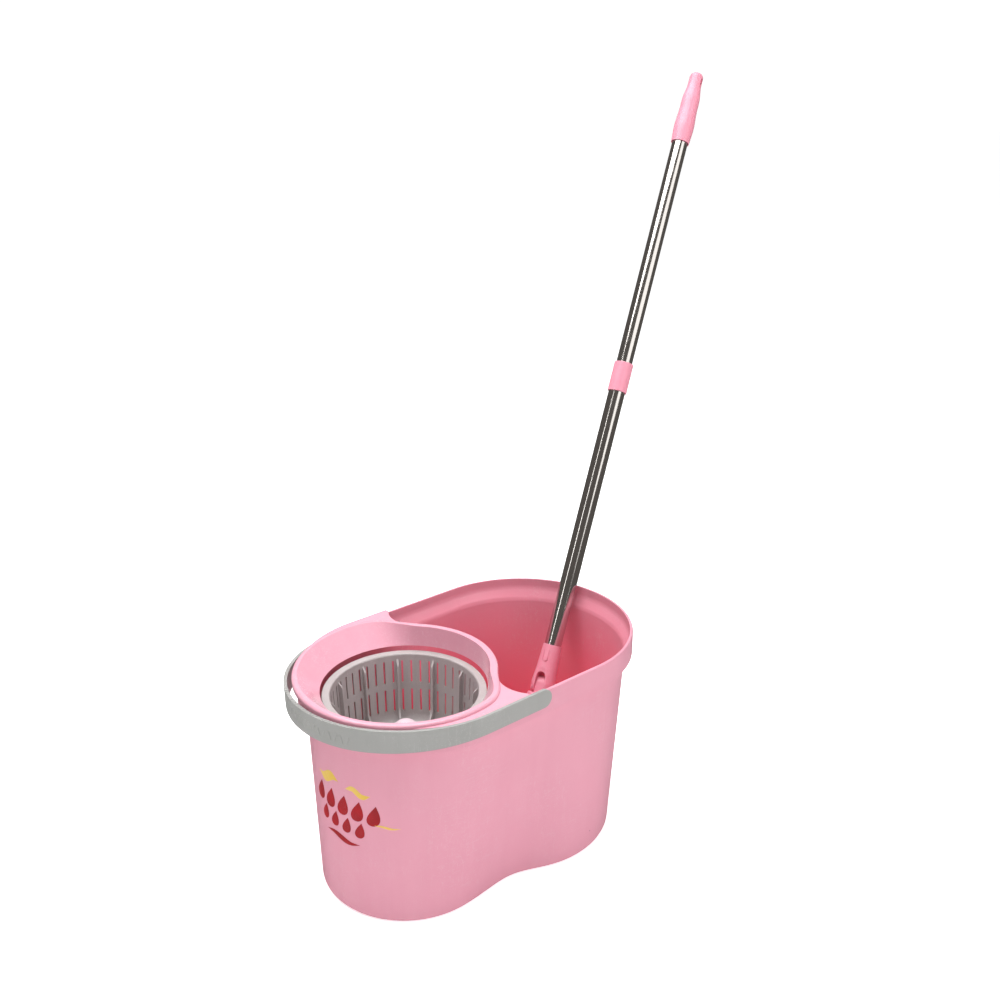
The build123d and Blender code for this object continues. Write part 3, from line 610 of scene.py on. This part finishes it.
def wrapped_shape(mesh, skin, middle, outline):
    """Lays a shape on the wall: an outline of (along, up) offsets from a (degrees, height) middle."""
    rings = []
    for scale in (0.25, 0.5, 0.75, 1.0):
        ring = []
        for along, up in outline:
            angle = math.radians(middle[0]) + along * scale / WALL_R
            spot, _ = skin_point(skin, WRINGER_END, angle, middle[1] + up * scale, PRINT_PROUD)
            ring.append(mesh.verts.new(spot))
        rings.append(ring)
    spot, _ = skin_point(skin, WRINGER_END, math.radians(middle[0]), middle[1], PRINT_PROUD)
    hub = mesh.verts.new(spot)
    count = len(outline)
    for index in range(count):
        following = (index + 1) % count
        mesh.faces.new((hub, rings[0][index], rings[0][following]))
        for inner, outer in zip(rings, rings[1:]):
            mesh.faces.new((inner[index], outer[index], outer[following], inner[following]))


def drop_outline(size):
    """A water drop with its point up, leaning over."""
    points = []
    for index in range(DROP_POINTS):
        turn = 2 * math.pi * index / DROP_POINTS
        across = 0.5 * size * math.sin(turn) * math.sin(turn / 2) ** 1.3
        up = 0.6 * size * math.cos(turn)
        points.append((across + DROP_LEAN * up, up))
    return points


def wave_outline(length, depth, rise):
    """A crest that tapers to a point at both ends."""
    upper = []
    lower = []
    for index in range(WAVE_STEPS + 1):
        part = index / WAVE_STEPS
        along = (part - 0.5) * length
        swell = math.sin(math.pi * part) ** 1.4
        crest = rise * math.sin(2 * math.pi * part)
        upper.append((along, crest + depth * swell * 0.5))
        lower.append((along, crest - depth * swell * 0.5))
    return upper + lower[-2:0:-1]


def print_on_bucket():
    skin = surface_of("bucket")
    shapes = {
        "printed_drops": (PRINT_RED, [
            *[((172 + 10.5 * index, (149 - 0.8 * index) * MM), drop_outline(23 * MM)) for index in range(5)],
            *[((176 + 9.5 * index, (124 - 0.8 * index) * MM), drop_outline(18 * MM)) for index in range(4)],
            ((190, 101 * MM), wave_outline(56 * MM, 8 * MM, 2.2 * MM)),
        ]),
        "printed_waves": (PRINT_YELLOW, [
            ((181, 175 * MM), wave_outline(38 * MM, 15 * MM, -3.5 * MM)),
            ((204, 171 * MM), wave_outline(34 * MM, 9 * MM, 3.5 * MM)),
            ((221, 133 * MM), wave_outline(34 * MM, 3 * MM, 1 * MM)),
        ]),
    }
    for name, (ink, outlines) in shapes.items():
        mesh = bmesh.new()
        for middle, outline in outlines:
            wrapped_shape(mesh, skin, middle, outline)
        bmesh.ops.recalc_face_normals(mesh, faces=mesh.faces)
        for face in mesh.faces:
            centre = face.calc_center_median()
            if face.normal.dot(Vector((centre.x - WRINGER_END.x, centre.y, 0))) < 0:
                face.normal_flip()
        data = bpy.data.meshes.new(name)
        mesh.to_mesh(data)
        mesh.free()
        finished_piece(name, data, ink, "bucket")


def raise_grip_bars():
    """Slanting raised bars on the outside of the bail's middle."""
    skin = surface_of("bail_handle")
    mesh = bmesh.new()
    for index in range(GRIP_BARS):
        angle = math.radians(166 + 3.1 * index)
        spot, normal = skin_point(skin, BAIL_CENTRE, angle, BAIL_CENTRE.z, 0.0)
        bar = bmesh.ops.create_cube(mesh, size=1.0)["verts"]
        side = Vector((0, 0, 1)).cross(normal).normalized()
        up = normal.cross(side)
        turn = Matrix((side, up, normal)).transposed().to_4x4()
        slant = Matrix.Rotation(-GRIP_BAR_SLANT if index % 2 else GRIP_BAR_SLANT, 4, "Z")
        size = Matrix.Diagonal((*GRIP_BAR_SIZE, 1))
        bmesh.ops.transform(mesh, matrix=Matrix.Translation(spot) @ turn @ slant @ size, verts=bar)
    bmesh.ops.bevel(mesh, geom=mesh.edges[:], offset=0.35 * MM, segments=2, profile=0.5, affect="EDGES",
                    material=-1)
    data = bpy.data.meshes.new("bail_grip_bars")
    mesh.to_mesh(data)
    mesh.free()
    finished_piece("bail_grip_bars", data, MATERIALS["handle_grey"], "bail")


print_on_bucket()
raise_grip_bars()

# ---------------------------------------------------------------- studio

FLOOR_SIZE = 30
FLOOR_DROP = 0.0002
FLOOR_GLOW, FLOOR_GLOW_SEEN = (0.34, 0.34, 0.34, 1), (0.62, 0.62, 0.62, 1)
FILL_LEFT, FILL_RIGHT = 0.26, 0.56
WHITE = (1, 1, 1, 1)
ROOM_TONE, ROOM_STRENGTH = (0.42, 0.39, 0.37, 1), 0.28
MIDDLE, POLE_LOWER_HALF = (0.05, 0, 0.25), (0.2, 0, 0.4)

# Name, place, aim, width, height and watts
SOFTBOXES = (
    ("top_softbox", (-0.2, 0.3, 2.4), MIDDLE, 2.0, 2.0, 64),
    ("front_softbox", (0.76, -2.25, 1.8), MIDDLE, 2.2, 1.6, 16),
    ("left_strip", (-2.2, 0.2, 1.6), POLE_LOWER_HALF, 0.16, 1.8, 4),
)


def add_floor():
    bpy.ops.mesh.primitive_plane_add(size=FLOOR_SIZE)
    floor = bpy.context.object
    floor.name = "studio_floor"
    floor.location.z = cad_box[0].z - FLOOR_DROP
    floor.visible_glossy = False
    material, tree, shader, coordinates = new_material("studio_paper")
    cloud = place(tree, "ShaderNodeTexNoise", {"Vector": coordinates, "Scale": 3.0, "Detail": 2.0})
    base = blend_colour(tree, cloud.outputs["Fac"], (0.93, 0.93, 0.93, 1), (0.95, 0.95, 0.95, 1))
    tree.links.new(base, shader.inputs["Base Color"])
    shader.inputs["Roughness"].default_value = 0.9
    shader.inputs["Specular IOR Level"].default_value = 0.0
    seen = place(tree, "ShaderNodeLightPath").outputs["Is Camera Ray"]
    glow = blend_colour(tree, seen, FLOOR_GLOW, FLOOR_GLOW_SEEN)
    tree.links.new(glow, shader.inputs["Emission Color"])
    shader.inputs["Emission Strength"].default_value = 1.0
    floor.data.materials.append(material)


def add_softbox(name, place_at, aim, width, height, power):
    data = bpy.data.lights.new(name, "AREA")
    data.shape = "RECTANGLE"
    data.size, data.size_y = width, height
    data.energy = power
    lamp = bpy.data.objects.new(name, data)
    lamp.location = place_at
    lamp.rotation_mode = "QUATERNION"
    lamp.rotation_quaternion = (Vector(aim) - Vector(place_at)).to_track_quat("-Z", "Y")
    bpy.context.scene.collection.objects.link(lamp)
    return lamp


def add_world():
    """White to look at, a soft fill that is weaker on the left, and a dimmer room in the reflections."""
    world = bpy.data.worlds.new("studio")
    bpy.context.scene.world = world
    world.use_nodes = True
    tree = world.node_tree
    tree.nodes.clear()
    rays = place(tree, "ShaderNodeLightPath")
    direction = place(tree, "ShaderNodeTexCoord").outputs["Generated"]
    across = place(tree, "ShaderNodeSeparateXYZ", {"Vector": direction}).outputs["X"]
    strength = spread(tree, across, -1.0, 0.8, FILL_LEFT, FILL_RIGHT)
    fill = place(tree, "ShaderNodeBackground", {"Color": WHITE, "Strength": strength})
    seen = place(tree, "ShaderNodeBackground", {"Color": WHITE, "Strength": 1.05})
    room = place(tree, "ShaderNodeBackground", {"Color": ROOM_TONE, "Strength": ROOM_STRENGTH})
    first = place(tree, "ShaderNodeMixShader")
    tree.links.new(rays.outputs["Is Glossy Ray"], first.inputs[0])
    tree.links.new(fill.outputs[0], first.inputs[1])
    tree.links.new(room.outputs[0], first.inputs[2])
    second = place(tree, "ShaderNodeMixShader")
    tree.links.new(rays.outputs["Is Camera Ray"], second.inputs[0])
    tree.links.new(first.outputs[0], second.inputs[1])
    tree.links.new(seen.outputs[0], second.inputs[2])
    output = tree.nodes.new("ShaderNodeOutputWorld")
    tree.links.new(second.outputs[0], output.inputs["Surface"])


def light_studio():
    for softbox in SOFTBOXES:
        add_softbox(*softbox)
    add_world()
    bpy.context.scene.view_settings.view_transform = "Standard"


add_floor()
light_studio()
